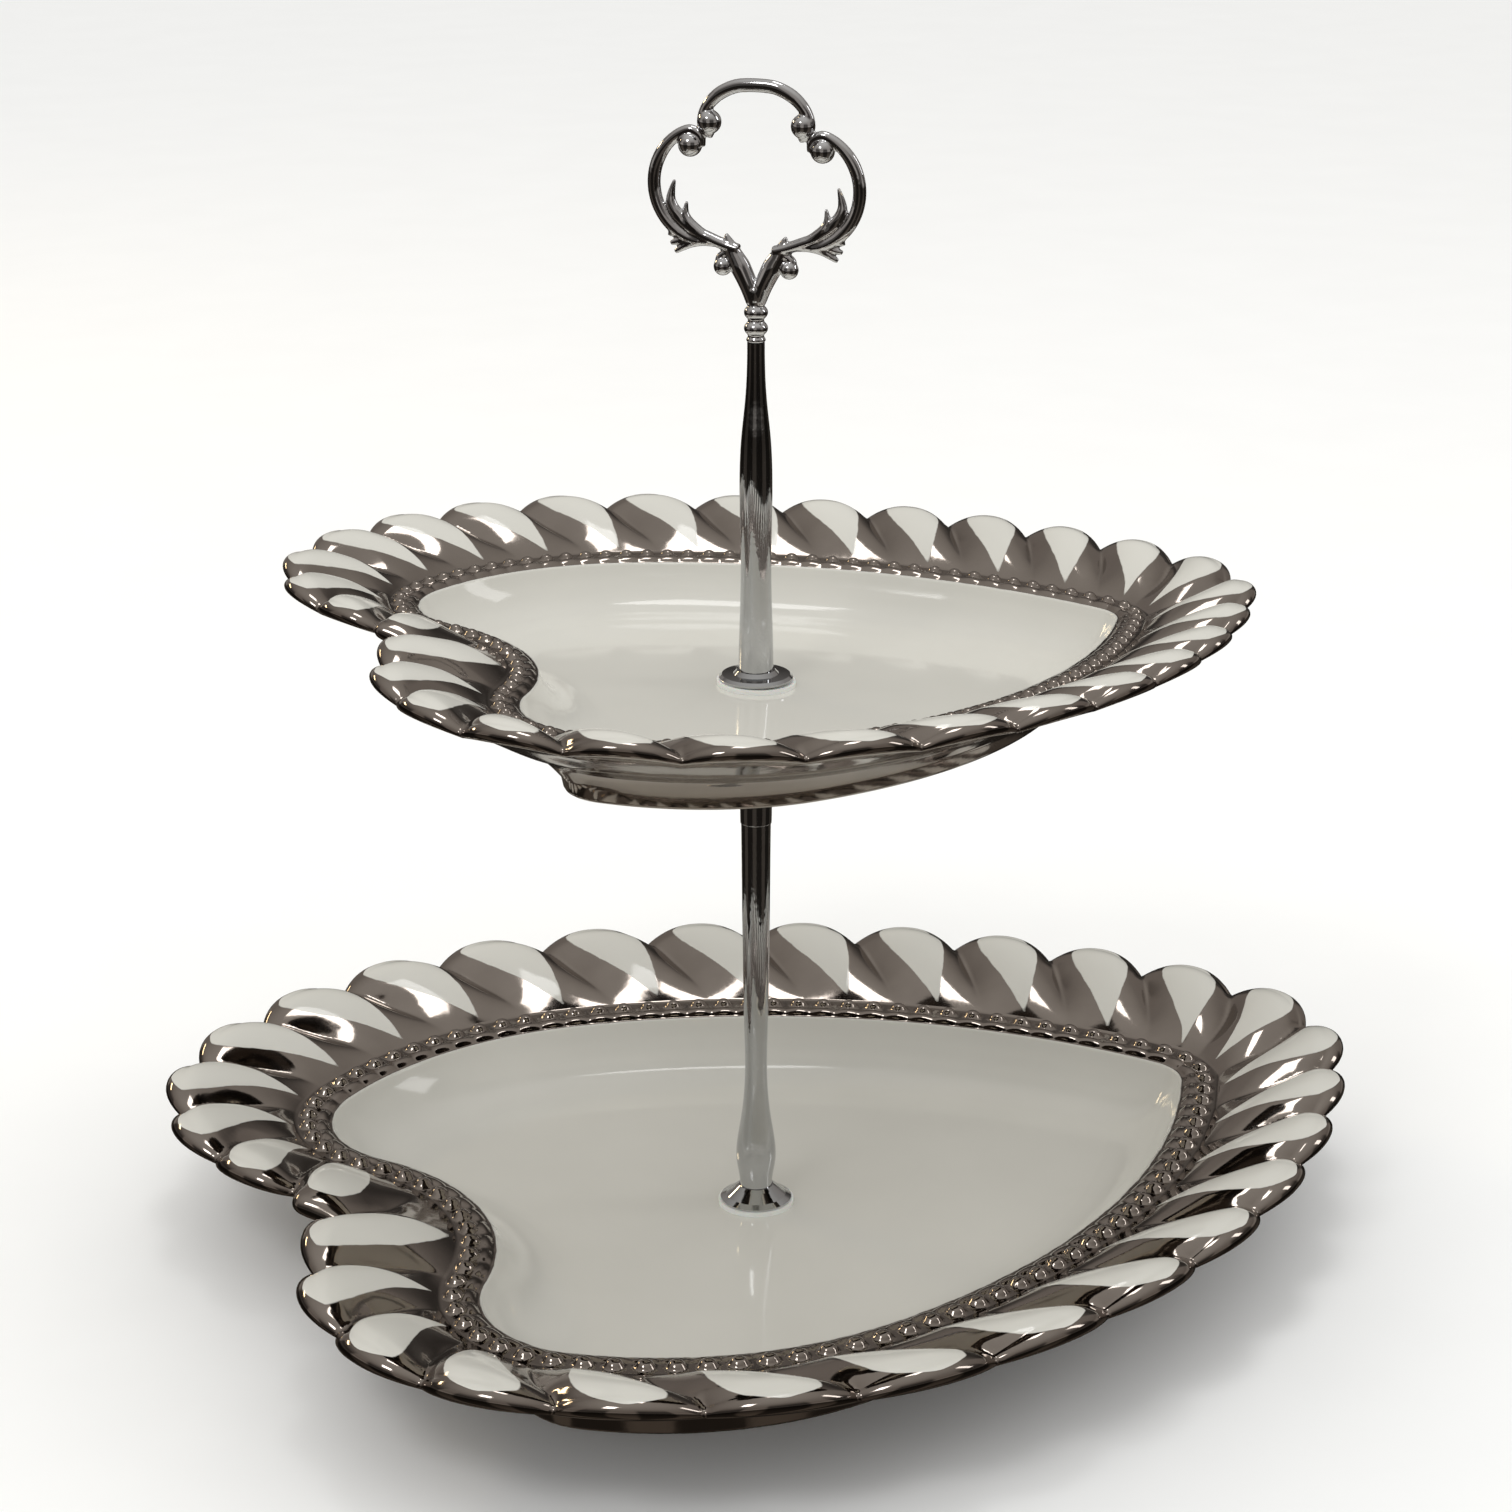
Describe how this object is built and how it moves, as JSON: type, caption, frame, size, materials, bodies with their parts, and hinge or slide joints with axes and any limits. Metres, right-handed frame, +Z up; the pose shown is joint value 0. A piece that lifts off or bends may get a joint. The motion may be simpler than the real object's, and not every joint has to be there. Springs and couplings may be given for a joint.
{
  "type": "tiered cake stand",
  "caption": "Heart-shaped tiered cake stand: glazed plates with metallic lustre rims, clamped on a turned chrome rod with a scrolled carrying handle.",
  "frame": {"origin": "on the surface the stand rests on, on the axis of the rod", "axes": "+Z up along the rod; +X from the rod towards the tip of the lower heart"},
  "size_m": [0.3284, 0.3022, 0.3201],
  "materials": {
    "glazed_plate": "clear glaze over cream, with platinum lustre on the rim and the underside",
    "chrome_casting": "die-cast zinc, polished and chromed",
    "chrome_rod": "turned steel, polished and chromed",
    "zinc_steel": "zinc-plated",
    "soft_washer": "moulded polyethylene, translucent white"
  },
  "bodies": {
    "base_plate": {"lower_plate": "glazed_plate", "lower_under_washer": "soft_washer", "lower_top_washer": "soft_washer"},
    "lower_column": {"lower_rod": "chrome_rod", "lower_rod_flange": "chrome_rod", "base_screw": "zinc_steel", "base_washer": "zinc_steel", "support_washer": "zinc_steel"},
    "upper_tier": {"upper_plate": "glazed_plate", "upper_under_washer": "soft_washer", "upper_top_washer": "soft_washer"},
    "middle_stud": {"middle_stud": "zinc_steel"},
    "upper_column": {"upper_rod": "chrome_rod", "upper_rod_flange": "chrome_rod"},
    "handle_stud": {"handle_stud": "zinc_steel"},
    "handle": {"handle": "chrome_casting"}
  },
  "joints": [
    {"name": "column_turn", "type": "hinge", "parent": "base_plate", "child": "lower_column", "pos_m": [0, 0, 0.012], "axis": [0, 0, 1], "continuous": true},
    {"name": "upper_plate_turn", "type": "hinge", "parent": "lower_column", "child": "upper_tier", "pos_m": [0, 0, 0.1563], "axis": [0, 0, 1], "continuous": true},
    {"name": "middle_stud_lift", "type": "slide", "parent": "lower_column", "child": "middle_stud", "axis": [0, 0, 1], "range_m": [0, 0.008]},
    {"name": "upper_rod_turn", "type": "hinge", "parent": "middle_stud", "child": "upper_column", "pos_m": [0, 0, 0.1668], "axis": [0, 0, 1], "range_deg": [0, 3600]},
    {"name": "handle_stud_lift", "type": "slide", "parent": "upper_column", "child": "handle_stud", "axis": [0, 0, 1], "range_m": [0, 0.006]},
    {"name": "handle_turn", "type": "hinge", "parent": "handle_stud", "child": "handle", "pos_m": [0, 0, 0.2539], "axis": [0, 0, 1], "range_deg": [0, 4800]}
  ],
  "couplings": [
    {"joint": "upper_rod_turn", "follows": "middle_stud_lift", "rad_per_m": 7854},
    {"joint": "handle_turn", "follows": "handle_stud_lift", "rad_per_m": 13963}
  ]
}
